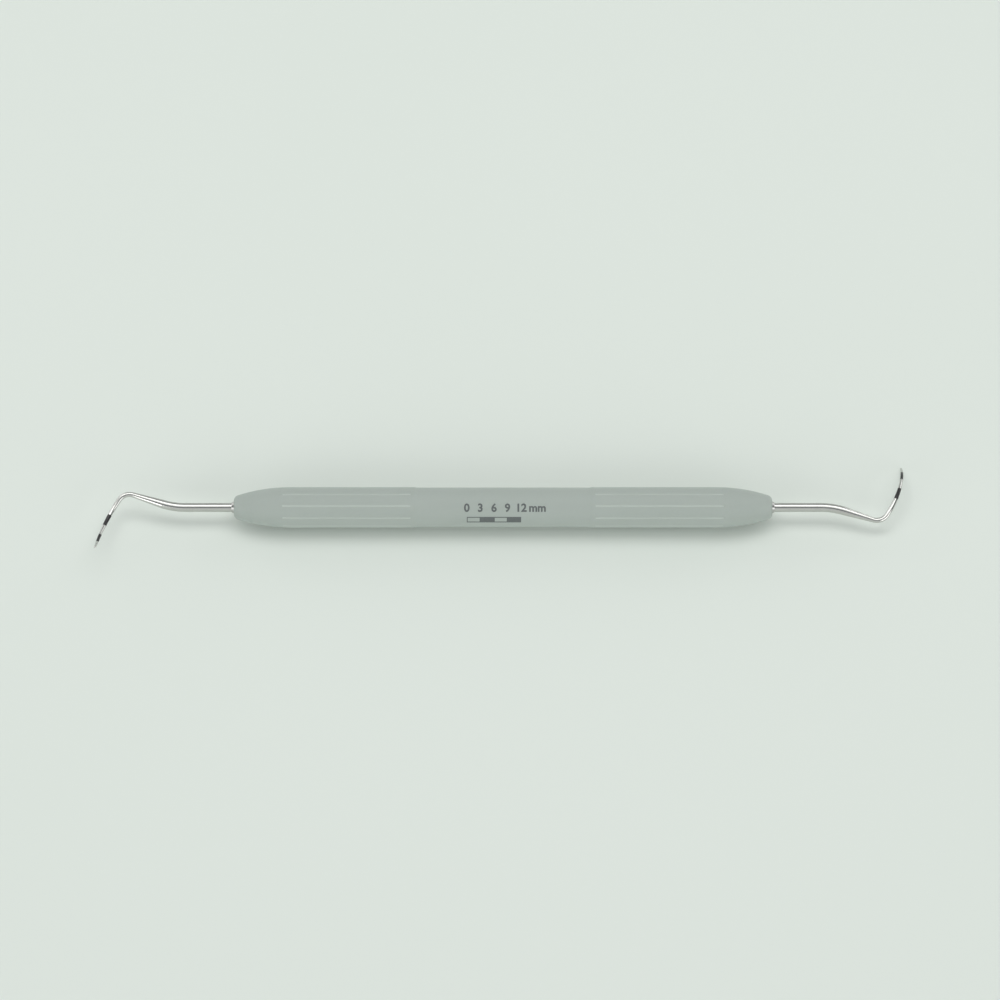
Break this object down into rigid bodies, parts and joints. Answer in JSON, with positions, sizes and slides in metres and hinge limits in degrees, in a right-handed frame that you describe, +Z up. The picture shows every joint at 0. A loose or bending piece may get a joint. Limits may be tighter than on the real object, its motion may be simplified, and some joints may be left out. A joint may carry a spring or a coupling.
{
  "type": "periodontal probe",
  "caption": "Double-ended furcation probe: silicone grip with lengthwise grooves, bent steel shanks, paired curved ends with black depth marks.",
  "frame": {"origin": "middle of the handle, on its axis", "axes": "+X along the handle towards the end whose point rests on the table, +Z up from the table it lies on, +Y away from someone who has that end on their right"},
  "size_m": [0.1794, 0.0254, 0.009],
  "materials": {
    "grip": "matte moulded silicone, light grey",
    "core": "drawn stainless steel tube",
    "plug": "turned stainless steel",
    "tip": "polished stainless steel",
    "mark": "black resin",
    "print": "dark grey pad-printed ink"
  },
  "bodies": {
    "root": {"grip_sleeve": "grip", "core_tube": "core", "left_end_plug": "plug", "right_end_plug": "plug", "left_tip": "tip", "right_tip": "tip", "left_mark_3_to_6": "mark", "left_mark_9_to_12": "mark", "right_mark_3_to_6": "mark", "right_mark_9_to_12": "mark"}
  },
  "joints": []
}
